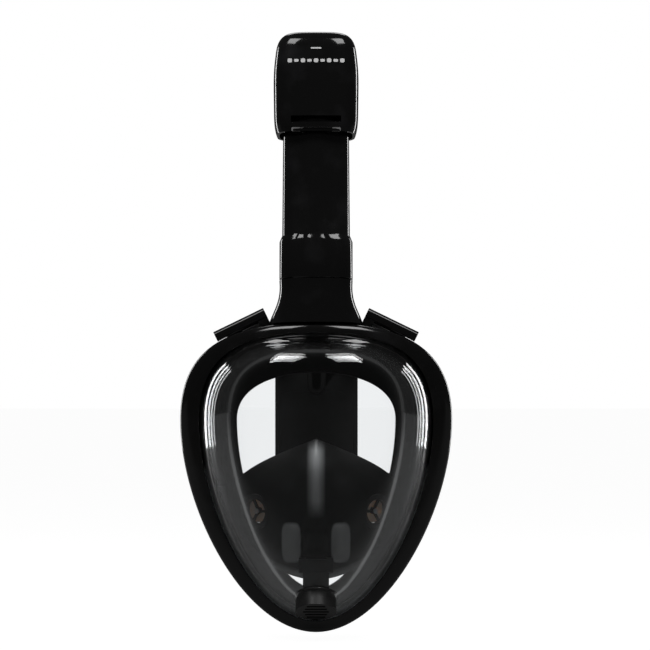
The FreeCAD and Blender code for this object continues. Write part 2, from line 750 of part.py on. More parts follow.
def unit(a, b):
    d = vector(*b) - vector(*a)
    return d / d.Length


def bar_between(a, b, across, width, thickness, start, stop):
    """A flat bar from a towards b, between two distances along it, with its width along a given direction."""
    along = unit(a, b)
    wide = vector(*across) - along * vector(*across).dot(along)
    wide.normalize()
    flat = along.cross(wide)
    turn = FreeCAD.Placement(FreeCAD.Matrix(
        wide.x, flat.x, along.x, a[0],
        wide.y, flat.y, along.y, a[1],
        wide.z, flat.z, along.z, a[2],
        0, 0, 0, 1))
    box = Part.makeBox(width, thickness, stop - start, vector(-width / 2, -thickness / 2, start))
    box = box.makeFillet(thickness * 0.3, edges_along(box, 2))
    box.Placement = turn
    return box


SLOPE = math.radians(TAB_SLOPE)
TAB_ACROSS = (math.cos(SLOPE), 0.0, -math.sin(SLOPE))
TAB_MIDDLE = (0.55 * HALF_WIDTH, SEAT_Y + 11.0, TOP_HEIGHT - 2.0)
UPPER_START = TAB_MIDDLE
UPPER_END = (PANEL_HALF - 12.0, PANEL_Y - 2.0, PANEL_TOP - 9.5)
LOWER_START = (0.8 * HALF_WIDTH, SEAT_Y + 46.0, -0.388 * CHIN_DEPTH)
LOWER_END = (PANEL_HALF - 4.0, PANEL_Y - 2.0, PANEL_CHIN + 12.0)
LOWER_ACROSS = (0.0, 0.0, 1.0)


def tab():
    """The upper strap's anchor: a bar beside the frame, held by a lug at its inner end."""
    x, y, z = TAB_MIDDLE
    corner = vector(-TAB_LENGTH / 2, -TAB_DEPTH / 2, -TAB_THICKNESS / 2)
    bar = Part.makeBox(TAB_LENGTH, TAB_DEPTH, TAB_THICKNESS, corner)
    bar = bar.makeFillet(3.0, edges_along(bar, 0))
    lug = Part.makeBox(7.0, 6.0, 13.0, vector(-TAB_LENGTH / 2, -3.0, -TAB_THICKNESS / 2 - 9.0))
    body = bar.fuse(lug)
    body.Placement = FreeCAD.Placement(vector(x, y, z), FreeCAD.Rotation(vector(0, 1, 0), TAB_SLOPE))
    return body.cut(frame_room()).removeSplitter()


def lower_clip(frame, ring_shape):
    """Hooks on the frame's side from behind and carries the lower strap."""
    x, y, z = LOWER_START
    width, depth, height = CLIP_SIZE
    body = Part.makeBox(*CLIP_SIZE, vector(x - width / 2, y + 0.5 - depth, z - height / 2))
    body = body.makeFillet(1.5, edges_along(body, 1))
    return body.cut(frame).cut(ring_shape).removeSplitter()


def strap(start, end, across, width):
    length = (vector(*end) - vector(*start)).Length
    return bar_between(start, end, across, width, STRAP_THICKNESS, STRAP_START, length - STRAP_STOP)


def adjuster(start, end, across, width):
    """A flat buckle that slides along its strap."""
    middle = (vector(*end) - vector(*start)).Length * 0.5
    wide = width + 2 * (ADJUSTER_RIM + ADJUSTER_CLEARANCE)
    thick = STRAP_THICKNESS + 2 * (ADJUSTER_WALL + ADJUSTER_CLEARANCE)
    low, high = middle - ADJUSTER_LENGTH / 2, middle + ADJUSTER_LENGTH / 2
    body = bar_between(start, end, across, wide, thick, low, high)
    slot = bar_between(start, end, across, width + 2 * ADJUSTER_CLEARANCE,
                       STRAP_THICKNESS + 2 * ADJUSTER_CLEARANCE, low - 1, high + 1)
    return body.cut(slot)


def harness_panel():
    """The soft pad behind the head, with a notch between its two upper arms."""
    cheek = PANEL_CHIN + 18.0
    chin = PANEL_HALF - 14.0
    corners = [(-PANEL_HALF, cheek), (-chin, PANEL_CHIN), (chin, PANEL_CHIN), (PANEL_HALF, cheek),
               (PANEL_HALF, PANEL_TOP), (NOTCH_TOP, PANEL_TOP), (NOTCH_FOOT, NOTCH_Z),
               (-NOTCH_FOOT, NOTCH_Z), (-NOTCH_TOP, PANEL_TOP), (-PANEL_HALF, PANEL_TOP)]
    return plate(corners, PANEL_Y, PANEL_THICKNESS, PANEL_CORNER)


# ======================================================================================
# Breathing-out ducts along the skirt, and their valves in the neck
# ======================================================================================

def exhale_duct():
    """A thin duct along the inside of the skirt, from the cheek to the neck's side way."""
    def at(extra):
        return share_of_band(1.0, extra)

    front, back = EXHALE_DUCT
    wall = 1.2
    outer = hoop([(at(3.6), front), (at(12.0), front), (at(12.0), back), (at(5.6), back)])
    inner = hoop([(at(4.8), front - wall), (at(12.0 - wall), front - wall),
                  (at(12.0 - wall), back + wall), (at(6.6), back + wall)])
    side = Part.makeBox(100, 100, 120, vector(9.0, -60, DUCT_LOW))
    return outer.cut(inner).common(side).cut(neck_well())


def neck_well():
    """The room that the neck's foot takes out of skirt and ducts."""
    gap = 0.2
    return Part.makeBox(2 * (DUCT_HALF + gap), DUCT_Y[1] - DUCT_Y[0] + 2 * gap, 30,
                        vector(-DUCT_HALF - gap, DUCT_Y[0] - gap, DUCT_FOOT_Z - gap))


def exhale_valve():
    """A seat plate across the neck's side way, and its flap, which opens upwards."""
    low, high = SIDE_WAY
    middle = ((low + high) / 2, DUCT_Y[0] + 3.0 + WAY_DEPTH / 2, DUCT_FOOT_Z + 4.0)
    seat = valve_seat(EXHALE_RADIUS, 0.4, 0.0)
    frame_plate = Part.makeBox(20, 20, 1.6, vector(-10, -10, -1.6))
    frame_plate = frame_plate.cut(Part.makeCylinder(EXHALE_RADIUS, 4, vector(0, 0, -3)))
    width, depth = high - low - 0.1, WAY_DEPTH - 0.1
    room = Part.makeBox(width, depth, 10, vector(-width / 2, -depth / 2, -5))
    seat = seat.fuse(frame_plate).common(room)
    flap = valve_flap(EXHALE_RADIUS - 0.3)
    return turned(seat, (0, 0, 1), middle), turned(flap, (0, 0, 1), middle)


def frame_screws():
    """Screws through the rear ring into the bezel, where the band is wide enough."""
    screws = []
    points = outline(share_of_band(0.62))
    for i in SCREW_POINTS:
        x, z = points[i]
        for side in (-1, 1):
            back = saddle(x, z) - RING_BACK
            head = Part.makeCylinder(2.1, 1.5, vector(0, 0, 0.02))
            head = head.cut(Part.makeBox(0.7, 3.0, 1, vector(-0.35, -1.5, 0.9)))
            head = head.cut(Part.makeBox(3.0, 0.7, 1, vector(-1.5, -0.35, 0.9)))
            screws.append(turned(head, (0, 1, 0), (side * x, back + 0.5, z)))
    return Part.makeCompound(screws)


# ======================================================================================
# Every piece, written as its own file
# ======================================================================================

frame = front_frame()
screws = frame_screws()
ring_shape = rear_ring().cut(screws)
neck = neck_socket()
pocket = inner_mask()
hole, cheek_seat, cheek_flap, inwards = cheek_valve(pocket)
pocket = pocket.cut(hole).cut(mirrored(hole)).cut(cheek_seat).cut(mirrored(cheek_seat)).cut(drain_body())
chin_seat, chin_flap, chin_cover = chin_valve()
exhale_seat, exhale_flap = exhale_valve()
upper = (UPPER_START, UPPER_END, TAB_ACROSS, UPPER_STRAP_WIDTH)
lower = (LOWER_START, LOWER_END, LOWER_ACROSS, LOWER_STRAP_WIDTH)
print("inhale flap opens along", inwards)
print("upper strap runs along", unit(UPPER_START, UPPER_END), "lower", unit(LOWER_START, LOWER_END))

save("front_frame", frame)
save("rear_ring", ring_shape)
save("frame_screws", screws)
save("lens", lens().cut(chin_seat))
save("face_skirt", skirt().cut(neck_well()))
save("inner_mask", pocket)
save("drain_duct", drain_duct())
save("chin_valve_seat", chin_seat)
save("chin_flap", chin_flap)
save("chin_valve_cover", chin_cover)
save("neck_socket", neck)
save("socket_gasket", on_axis(socket_gasket()))
save("snorkel_tube", on_axis(snorkel_tube()))
save("dry_top_cap", on_axis(dry_top_cap().cut(cap_screws())))
save("cap_screws", on_axis(cap_screws()))
save("float_cage", on_axis(float_cage()))
save("port_plate", on_axis(port_plate()))
save("float_block", on_axis(float_block()))
save("float_seal", on_axis(float_seal()))
save("harness_panel", harness_panel())

pairs = {
    "inhale_valve_seat": cheek_seat,
    "inhale_flap": cheek_flap,
    "exhale_duct": exhale_duct(),
    "exhale_valve_seat": exhale_seat,
    "exhale_flap": exhale_flap,
    "upper_anchor": tab().cut(neck).removeSplitter(),
    "upper_strap": strap(*upper),
    "upper_adjuster": adjuster(*upper),
    "lower_clip": lower_clip(frame, ring_shape),
    "lower_strap": strap(*lower),
    "lower_adjuster": adjuster(*lower),
}
for name, piece in pairs.items():
    save(name + "_left", piece)
    save(name + "_right", mirrored(piece))
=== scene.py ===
import json
import math

import bmesh
import bpy
from mathutils import Matrix, Vector
from mathutils.bvhtree import BVHTree

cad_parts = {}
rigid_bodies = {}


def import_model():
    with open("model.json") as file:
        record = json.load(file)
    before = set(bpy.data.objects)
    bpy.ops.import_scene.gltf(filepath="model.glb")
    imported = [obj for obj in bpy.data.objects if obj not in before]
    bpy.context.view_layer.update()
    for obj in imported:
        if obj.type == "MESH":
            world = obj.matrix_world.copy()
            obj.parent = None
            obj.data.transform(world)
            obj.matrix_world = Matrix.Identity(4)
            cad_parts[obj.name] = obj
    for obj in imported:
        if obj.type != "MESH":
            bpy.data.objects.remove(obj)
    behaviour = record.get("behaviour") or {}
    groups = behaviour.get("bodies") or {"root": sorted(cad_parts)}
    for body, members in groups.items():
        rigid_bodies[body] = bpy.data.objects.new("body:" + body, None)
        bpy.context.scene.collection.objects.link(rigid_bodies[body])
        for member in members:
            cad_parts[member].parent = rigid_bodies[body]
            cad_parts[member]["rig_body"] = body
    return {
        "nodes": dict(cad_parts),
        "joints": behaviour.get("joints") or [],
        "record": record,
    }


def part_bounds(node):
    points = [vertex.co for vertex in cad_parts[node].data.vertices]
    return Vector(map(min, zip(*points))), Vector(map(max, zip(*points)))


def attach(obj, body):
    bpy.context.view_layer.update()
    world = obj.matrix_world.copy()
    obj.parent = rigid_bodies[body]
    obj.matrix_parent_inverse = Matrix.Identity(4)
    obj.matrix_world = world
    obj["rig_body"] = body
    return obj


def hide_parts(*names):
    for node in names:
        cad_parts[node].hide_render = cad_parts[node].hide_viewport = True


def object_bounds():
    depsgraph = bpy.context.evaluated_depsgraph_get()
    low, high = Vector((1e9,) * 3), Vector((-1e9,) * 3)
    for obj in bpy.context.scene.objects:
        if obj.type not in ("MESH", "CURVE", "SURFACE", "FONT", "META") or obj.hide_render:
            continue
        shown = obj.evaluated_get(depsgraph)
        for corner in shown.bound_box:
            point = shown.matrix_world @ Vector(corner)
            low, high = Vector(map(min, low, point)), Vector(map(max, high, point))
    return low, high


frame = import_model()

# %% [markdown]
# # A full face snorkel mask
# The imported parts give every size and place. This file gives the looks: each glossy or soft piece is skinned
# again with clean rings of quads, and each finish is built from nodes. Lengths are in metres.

MM = 0.001
nodes = frame["nodes"]
scene = bpy.context.scene
part_box = [list(corner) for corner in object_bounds()]
print("packed box", part_box)

# %% [markdown]
# ## Shader arithmetic
# A finish is easier to read as a sum than as a web of nodes. `Wire` wraps a socket, so that + - * / on it add
# Math nodes, and `Finish` holds one material with its Principled shader and adds any other node in one call.

# %% Wire and Finish
class Wire:
    def __init__(self, finish, socket):
        self.finish = finish
        self.socket = socket

    def math(self, operation, *others):
        node = self.finish.nodes.new("ShaderNodeMath")
        node.operation = operation
        for place, value in zip(node.inputs, (self, *others)):
            self.finish.feed(place, value)
        return Wire(self.finish, node.outputs[0])

    def __add__(self, other):
        return self.math("ADD", other)

    def __sub__(self, other):
        return self.math("SUBTRACT", other)

    def __mul__(self, other):
        return self.math("MULTIPLY", other)

    def __rsub__(self, other):
        return (self * -1.0).math("ADD", other)


class Finish:
    def __init__(self, name, **constants):
        self.material = bpy.data.materials.new(name)
        self.material.use_nodes = True
        self.nodes = self.material.node_tree.nodes
        self.links = self.material.node_tree.links
        self.shader = self.nodes["Principled BSDF"]
        self.output = self.nodes["Material Output"]
        for socket, value in constants.items():
            self.shader.inputs[socket.replace("_", " ")].default_value = value
        self.place = self.node("ShaderNodeTexCoord").outputs["Object"]

    def feed(self, socket, value):
        if isinstance(value, Wire):
            self.links.new(value.socket, socket)
        elif isinstance(value, bpy.types.NodeSocket):
            self.links.new(value, socket)
        else:
            socket.default_value = value

    def node(self, kind, settings=None, **values):
        made = self.nodes.new(kind)
        for name, value in (settings or {}).items():
            setattr(made, name, value)
        for name, value in values.items():
            self.feed(made.inputs[name.replace("_", " ")], value)
        return made

    def noise(self, scale, detail=3.0, stretch=None):
        where = self.place
        if stretch:
            where = self.node("ShaderNodeMapping", None, Vector=where, Scale=stretch).outputs[0]
        made = self.node("ShaderNodeTexNoise", None, Vector=where, Scale=scale, Detail=detail)
        return Wire(self, made.outputs["Fac"])

    def mask(self, wire, low, high):
        made = self.node("ShaderNodeMapRange", {"clamp": True}, Value=wire, From_Min=low, From_Max=high)
        return Wire(self, made.outputs[0])

    def mix(self, factor, a, b):
        made = self.node("ShaderNodeMix", {"data_type": "RGBA"})
        self.feed(made.inputs[0], factor)
        self.feed(made.inputs[6], a)
        self.feed(made.inputs[7], b)
        return Wire(self, made.outputs[2])

    def set(self, **values):
        for name, value in values.items():
            self.feed(self.shader.inputs[name.replace("_", " ")], value)

    def bump(self, height, strength, distance):
        made = self.node("ShaderNodeBump", None, Height=height, Strength=strength, Distance=distance)
        self.feed(self.shader.inputs["Normal"], made.outputs[0])


def grey(value, blue=1.0):
    return (value, value, value * blue, 1.0)


# %% [markdown]
# ## Hard plastics
# The frame, tube and dry top are injection-moulded ABS polished in the tool: near-black, with a faint
# waviness, fine hairline scratches and a little dust of wear. The smaller fittings come out of a spark-eroded
# tool, so they have a fine satin grain instead.

# %% Gloss black, satin black, grey plastic and steel
def gloss_black():
    f = Finish("gloss_black", IOR=1.40, Coat_Roughness=0.04)
    wear = f.mask(f.noise(38.0, 5.0), 0.52, 0.78)
    hairlines = f.mask(f.noise(260.0, 2.0, (9.0, 1.0, 0.35)), 0.60, 0.72)
    wave = f.noise(26.0, 1.0)
    f.set(Base_Color=f.mix(wear, grey(0.0045), grey(0.011, 1.05)))
    f.set(Roughness=wear * 0.07 + hairlines * 0.05 + 0.10)
    f.set(Coat_Weight=0.16 - wear * 0.1)
    f.bump(wave + hairlines * 0.02, 0.25, 0.00018)
    return f.material


def satin_black():
    f = Finish("satin_black", IOR=1.48)
    grain = f.noise(2600.0, 2.0)
    patch = f.mask(f.noise(55.0, 4.0), 0.40, 0.75)
    f.set(Base_Color=f.mix(patch, grey(0.010), grey(0.017, 1.04)))
    f.set(Roughness=patch * 0.10 + 0.36)
    f.bump(grain, 0.30, 0.00006)
    return f.material


def grey_plastic():
    f = Finish("grey_plastic", IOR=1.47)
    f.shader.inputs["Subsurface Weight"].default_value = 0.08
    cloud = f.noise(70.0, 4.0)
    f.set(Base_Color=f.mix(cloud, (0.60, 0.62, 0.64, 1), (0.72, 0.74, 0.76, 1)))
    f.set(Roughness=cloud * 0.12 + 0.30)
    f.bump(f.noise(1800.0, 2.0), 0.2, 0.00005)
    return f.material


def steel():
    f = Finish("steel", Metallic=1.0)
    brushed = f.noise(900.0, 2.0, (1.0, 12.0, 1.0))
    f.set(Base_Color=f.mix(brushed, (0.50, 0.50, 0.52, 1), (0.68, 0.68, 0.70, 1)))
    f.set(Roughness=brushed * 0.14 + 0.20)
    f.bump(brushed, 0.2, 0.00003)
    return f.material


# %% [markdown]
# ## Silicone
# The skirt and inner mask are liquid silicone: softer than the plastic, with a satin skin that takes up a
# dusty bloom. Masks over the piece's own millimetres paint light into the colour: a painted reflection in the
# gutter round the chin, with a painted highlight strongest at its rim, and a painted highlight down the rib of
# the nose. Two lobes beside the drain are made paler as well. The flaps and gaskets are thinner and paler all
# over.

# %% Black silicone and soft silicone
# The painted reflection round the chin gutter and the painted highlight at its rim: their ovals, and the
# depths below eye height over which the reflection fades in.
GUTTER_REFLECTION_OVAL = (72, 79, -20)  # half width, half height and middle height, all of these in mm
GUTTER_REFLECTION_FADE = (26, 40)  # depths below eye height over which the gutter turns pale
RIM_HIGHLIGHT_OVAL = (80, 121, -10)
LOBE_MIDDLE, LOBE_HALF, LOBE_SHARE = ((16.5, -79), (6.5, 14), 0.30)
# Where the painted highlight down the nose rib lies, and how pale it is.
RIB_HIGHLIGHT_EDGE, RIB_HIGHLIGHT_FOOT, RIB_HIGHLIGHT_HEAD, RIB_HIGHLIGHT_SHARE = ((1.5, 6.5), (-62, -50), (-18, -11), 0.34)


def black_silicone():
    f = Finish("black_silicone", IOR=1.38)
    bloom = f.mask(f.noise(30.0, 6.0), 0.45, 0.80)
    parts = f.node("ShaderNodeSeparateXYZ", None, Vector=f.place)
    across = Wire(f, parts.outputs[0]) * (1 / MM)
    up = Wire(f, parts.outputs[2]) * (1 / MM)
    beside = across.math("ABSOLUTE")

    def oval(half_width, half_height, centre):
        """Squared distance from the middle of an oval, where 1 is on the oval itself."""
        x = across * (1 / half_width)
        z = (up - centre) * (1 / half_height)
        return x * x + z * z

    # Painted reflection: a pale band round the skirt's chin, with a painted highlight strongest at its rim.
    gutter_reflection = f.mask(oval(*GUTTER_REFLECTION_OVAL), 0.98, 1.10) * f.mask(up * -1.0, *GUTTER_REFLECTION_FADE)
    rim = f.mask(oval(*RIM_HIGHLIGHT_OVAL), 0.80, 0.92)
    lobe_x = (beside - LOBE_MIDDLE[0]) * (1 / LOBE_HALF[0])
    lobe_z = (up - LOBE_MIDDLE[1]) * (1 / LOBE_HALF[1])
    lobes = 1.0 - f.mask(lobe_x * lobe_x * lobe_x * lobe_x + lobe_z * lobe_z * lobe_z * lobe_z, 0.6, 1.2)
    # Painted highlight: a pale line down the nose rib.
    rib = (1.0 - f.mask(beside, *RIB_HIGHLIGHT_EDGE)) * f.mask(up, *RIB_HIGHLIGHT_FOOT) * (1.0 - f.mask(up, *RIB_HIGHLIGHT_HEAD))
    pale = (gutter_reflection * (rim * 0.5 + 0.5) + lobes * LOBE_SHARE + rib * RIB_HIGHLIGHT_SHARE).math("MINIMUM", 1.0)
    dark = f.mix(bloom, grey(0.003), grey(0.007, 1.05))
    # The painted reflection, the painted highlights and the paler lobes are mixed into the base colour as
    # near-white.
    f.set(Base_Color=f.mix(pale, dark, grey(0.95)))
    f.set(Roughness=bloom * 0.12 + 0.36)
    f.bump(f.noise(60.0, 3.0), 0.25, 0.00008)
    return f.material


def soft_silicone():
    f = Finish("soft_silicone", IOR=1.41)
    f.shader.inputs["Subsurface Weight"].default_value = 0.15
    cloud = f.noise(120.0, 3.0)
    f.set(Base_Color=f.mix(cloud, (0.24, 0.25, 0.26, 1), (0.34, 0.35, 0.36, 1)))
    f.set(Roughness=cloud * 0.1 + 0.30)
    f.bump(f.noise(900.0, 2.0), 0.2, 0.00006)
    return f.material


# %% [markdown]
# ## Webbing and harness pad
# The straps are woven elastic: ribs run across, warp threads along. A strap carries its own UV map, with u
# across and v along in thread counts, so the weave follows it round bends. The pad is moulded rubber with a
# fine pebble.

# %% Elastic webbing and harness rubber
def elastic_webbing():
    f = Finish("elastic_webbing", Sheen_Weight=0.25, Sheen_Roughness=0.5, IOR=1.45)
    uv = f.node("ShaderNodeUVMap", {"uv_map": "thread"}).outputs[0]
    parts = f.node("ShaderNodeSeparateXYZ", None, Vector=uv)
    across = Wire(f, parts.outputs[0])
    along = Wire(f, parts.outputs[1])
    warp = (across * math.tau).math("SINE")
    weft = (along * math.tau).math("SINE")
    over = (warp * weft) * 0.5 + 0.5
    rib = weft * 0.5 + 0.5
    fuzz = f.noise(2400.0, 3.0)
    f.set(Base_Color=f.mix(over * 0.7 + fuzz * 0.3, grey(0.006), grey(0.030, 1.06)))
    f.set(Roughness=fuzz * 0.15 + 0.72)
    f.bump(over * 0.6 + rib * 0.6 + fuzz * 0.25, 0.7, 0.00035)
    return f.material


def harness_rubber():
    f = Finish("harness_rubber", IOR=1.45, Sheen_Weight=0.12, Sheen_Roughness=0.4)
    pebble = f.node("ShaderNodeTexVoronoi", None, Vector=f.place, Scale=900.0)
    cells = Wire(f, pebble.outputs["Distance"])
    patch = f.mask(f.noise(42.0, 5.0), 0.42, 0.78)
    f.set(Base_Color=f.mix(patch, grey(0.005), grey(0.010, 1.05)))
    f.set(Roughness=patch * 0.12 + 0.60)
    f.bump(cells, 0.30, 0.00006)
    return f.material


# %% [markdown]
# ## Clear lens
# Polycarbonate shows mostly by what it mirrors, more so at a glancing angle. A clear-through shader mixed
# with a gloss by Fresnel gives that with little noise; faint hairlines sit where a cloth has wiped it.

# %% Clear polycarbonate and pale print
def clear_lens():
    f = Finish("clear_lens", IOR=1.58, Roughness=0.03)
    f.shader.inputs["Base Color"].default_value = (0.75, 0.78, 0.80, 1)
    hairlines = f.mask(f.noise(190.0, 2.0, (1.0, 1.0, 14.0)), 0.64, 0.74)
    clear = f.node("ShaderNodeBsdfTransparent")
    clear.inputs[0].default_value = (0.955, 0.965, 0.97, 1)
    gloss = f.node("ShaderNodeBsdfGlossy")
    gloss.inputs["Color"].default_value = (1, 1, 1, 1)
    gloss.inputs["Roughness"].default_value = 0.035
    fresnel = Wire(f, f.node("ShaderNodeFresnel", None, IOR=1.50).outputs[0])
    mixed = f.node("ShaderNodeMixShader")
    f.feed(mixed.inputs[0], fresnel * 0.85 + hairlines * 0.006)
    f.links.new(clear.outputs[0], mixed.inputs[1])
    f.links.new(gloss.outputs[0], mixed.inputs[2])
    f.links.new(mixed.outputs[0], f.output.inputs[0])
    return f.material


def pale_print():
    f = Finish("pale_print", IOR=1.45)
    speck = f.noise(1400.0, 3.0)
    f.set(Base_Color=f.mix(speck, grey(0.55), grey(0.78)))
    f.set(Roughness=speck * 0.2 + 0.35)
    f.bump(speck, 0.2, 0.00004)
    return f.material


finishes = {make.__name__: make() for make in (gloss_black, satin_black, grey_plastic, steel, black_silicone,
            soft_silicone, elastic_webbing, harness_rubber, clear_lens, pale_print)}
slots = {row["node"]: row["material_slot"] for row in frame["record"]["subparts"]}
print("finishes", sorted(finishes))

# %% [markdown]
# ## Small fittings
# Valve seats, flaps, screws, buckles and cage parts have the right shape already. Each gets a copy of its
# part's mesh with doubled points merged, flat faces joined, and its sharp edges rounded by a small bevel.
# Every piece that stands for a part rides on that part's body, and is noted, so that none is made twice.

# %% Finished meshes and rounded copies
skinned = set()


def mesh_of(bm, name):
    mesh = bpy.data.meshes.new(name)
    bm.to_mesh(mesh)
    bm.free()
    return mesh


def finish_mesh(name, mesh, material, smooth_angle=35.0):
    piece = bpy.data.objects.new(name, mesh)
    scene.collection.objects.link(piece)
    mesh.materials.clear()
    mesh.materials.append(finishes[material])
    mesh.polygons.foreach_set("use_smooth", [True] * len(mesh.polygons))
    mesh.set_sharp_from_angle(angle=math.radians(smooth_angle))
    return piece


def wear_in(piece, width, segments=2, angle=30.0):
    bevel = piece.modifiers.new("edge", "BEVEL")
    bevel.width = width
    bevel.segments = segments
    bevel.limit_method = "ANGLE"
    bevel.angle_limit = math.radians(angle)
    bevel.harden_normals = False
    return piece


def stand_for(piece, node):
    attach(piece, nodes[node]["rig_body"])
    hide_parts(node)
    skinned.add(node)
    return piece


def rounded_copy(node, width):
    bm = bmesh.new()
    bm.from_mesh(nodes[node].data)
    bmesh.ops.remove_doubles(bm, verts=bm.verts, dist=1e-6)
    bmesh.ops.dissolve_limit(bm, angle_limit=math.radians(1.0), verts=bm.verts, edges=bm.edges)
    piece = finish_mesh(node + "_piece", mesh_of(bm, node + "_piece"), slots[node])
    if width:
        wear_in(piece, width)
    return stand_for(piece, node)


print("parts to stand for", len(nodes))

# %% [markdown]
# ## Skinning with rings
# Lens, frame, skirt and inner mask are each an egg-shaped outline, drawn in and pushed forward by turns. A
# skin starts as one ring of points; its edges are extruded and each new ring is moved to its place, which
# leaves even quads that take a highlight cleanly. The ends are then filled, or the last ring is bridged back
# to the first.

# %% The skin helper
def skin(name, rings, node, loop=False, smooth_angle=40.0, coords=None):
    bm = bmesh.new()
    order = bm.verts.layers.int.new("order")
    uv_of = [bm.verts.layers.float.new("u"), bm.verts.layers.float.new("v")]
    verts = [bm.verts.new(point) for point in rings[0]]
    for i, vert in enumerate(verts):
        vert[order] = i
    edges = [bm.edges.new((verts[i - 1], verts[i])) for i in range(len(verts))]
    first = list(edges)

    def place(vert, row):
        vert.co = rings[row][vert[order]]
        if coords:
            vert[uv_of[0]], vert[uv_of[1]] = coords[row][vert[order]]

    for vert in verts:
        place(vert, 0)
    for row in range(1, len(rings)):
        grown = bmesh.ops.extrude_edge_only(bm, edges=edges)["geom"]
        edges = [part for part in grown if isinstance(part, bmesh.types.BMEdge)]
        for vert in (part for part in grown if isinstance(part, bmesh.types.BMVert)):
            place(vert, row)
    if loop:
        bmesh.ops.bridge_loops(bm, edges=first + edges)
    else:
        bmesh.ops.holes_fill(bm, edges=first, sides=0)
        bmesh.ops.holes_fill(bm, edges=edges, sides=0)
    bmesh.ops.recalc_face_normals(bm, faces=bm.faces)
    if coords:
        thread = bm.loops.layers.uv.new("thread")
        for face in bm.faces:
            for corner in face.loops:
                corner[thread].uv = (corner.vert[uv_of[0]], corner.vert[uv_of[1]])
    piece = finish_mesh(name, mesh_of(bm, name), slots[node], smooth_angle)
    print(name, len(piece.data.polygons), "faces")
    return piece


# %% [markdown]
# ## Holes
# A hole is a boolean with a plain cutter, applied at once, so that the cutter can be thrown away. Joint axes
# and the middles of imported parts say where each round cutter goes.

# %% Cutters and drilling
def apply_modifiers(piece):
    graph = bpy.context.evaluated_depsgraph_get()
    mesh = bpy.data.meshes.new_from_object(piece.evaluated_get(graph))
    piece.modifiers.clear()
    piece.data = mesh
    return piece


def drill(piece, cutters):
    """Cuts each cutter's shape out of a piece and throws the cutter away."""
    for cutter in cutters:
        cut = piece.modifiers.new("cut", "BOOLEAN")
        cut.operation = "DIFFERENCE"
        cut.solver = "EXACT"
        cut.object = cutter
    apply_modifiers(piece)
    for cutter in cutters:
        bpy.data.objects.remove(cutter)
    return piece


def cutter_of(bm):
    cutter = bpy.data.objects.new("cutter", mesh_of(bm, "cutter"))
    scene.collection.objects.link(cutter)
    return cutter


def cylinder_cutter(place, axis, radius, length):
    bm = bmesh.new()
    turn = Vector(axis).to_track_quat("Z", "Y").to_matrix().to_4x4()
    matrix = Matrix.Translation(place) @ turn
    bmesh.ops.create_cone(bm, cap_ends=True, segments=64, radius1=radius, radius2=radius, depth=length,
                          matrix=matrix)
    return cutter_of(bm)


def box_cutter(low, high):
    bm = bmesh.new()
    bmesh.ops.create_cube(bm, size=1.0)
    size = [b - a for a, b in zip(low, high)]
    bmesh.ops.scale(bm, verts=bm.verts, vec=size)
    bmesh.ops.translate(bm, verts=bm.verts, vec=[(a + b) / 2 for a, b in zip(low, high)])
    return cutter_of(bm)


def joint_axis(name):
    return next(Vector(joint["axis"]) for joint in frame["joints"] if joint["name"] == name)


def middle(node):
    low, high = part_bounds(node)
    return (low + high) / 2


# %% [markdown]
# ## The outline
# The frame's box gives the half width, top and chin. Two curves a side join them, and an inset draws the
# whole outline in by its own amount at the top, the sides and the chin. The saddle bends the outline back at
# the temples, to fit round a face.

# %% Outline and saddle
frame_low, frame_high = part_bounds("front_frame")
HALF, TOP, CHIN = frame_high.x, frame_high.z, -frame_low.z
WIDEST = 2.0 * MM
TOP_PULL, UP_PULL, DOWN_PULL, CHIN_PULL = (63.0 * MM, 46.5 * MM, 60.0 * MM, 48.0 * MM)
BAND = (6.5 * MM, 13.2 * MM, 8.0 * MM)
SADDLE_FRONT, SADDLE_RISE, SADDLE_HALF, SADDLE_LEAN = (-45.0 * MM, 28.0 * MM, 91.8 * MM, 0.06)
STEPS = 36


def bezier(a, b, c, d, t):
    s = 1 - t
    return s ** 3 * a + 3 * s * s * t * b + 3 * s * t * t * c + t ** 3 * d


def outline(inset, round_top=0.0):
    """Points round the outline, from the top by the +X side; round_top eases the two upper corners."""
    top, half, chin = TOP - inset[0], HALF - inset[1], CHIN - inset[2]
    wide = half / HALF
    top_pull = TOP_PULL * wide * (1 - round_top)
    high = (top - WIDEST) / (TOP - WIDEST)
    low = (chin + WIDEST) / (CHIN + WIDEST)
    right = []
    for i in range(STEPS):
        t = i / STEPS
        right.append((bezier(0, top_pull, half, half, t),
                      bezier(top, top, WIDEST + UP_PULL * high, WIDEST, t)))
    for i in range(STEPS):
        t = i / STEPS
        right.append((bezier(half, half, CHIN_PULL * wide, 0, t),
                      bezier(WIDEST, WIDEST - DOWN_PULL * low, -chin, -chin, t)))
    return right + [(0.0, -chin)] + [(-x, z) for x, z in reversed(right[1:])]


def saddle(x, z):
    return SADDLE_FRONT + SADDLE_RISE * (x / SADDLE_HALF) ** 2 - SADDLE_LEAN * z


def share_of_band(share, extra=0.0):
    return tuple(share * width + extra * MM for width in BAND)


def ring(inset, height, round_top=0.0):
    return [(x, saddle(x, z) - height * MM, z) for x, z in outline(inset, round_top)]


print("outline", len(outline(share_of_band(0.0))), "points, half width", HALF, "top", TOP, "chin", CHIN)

# %% [markdown]
# ## Front frame
# One moulding: an outer wall, a crowned face and a lip over the lens. The cross-section is a list of corners;
# the crown has enough of them to roll the light, and a small bevel breaks the rest.

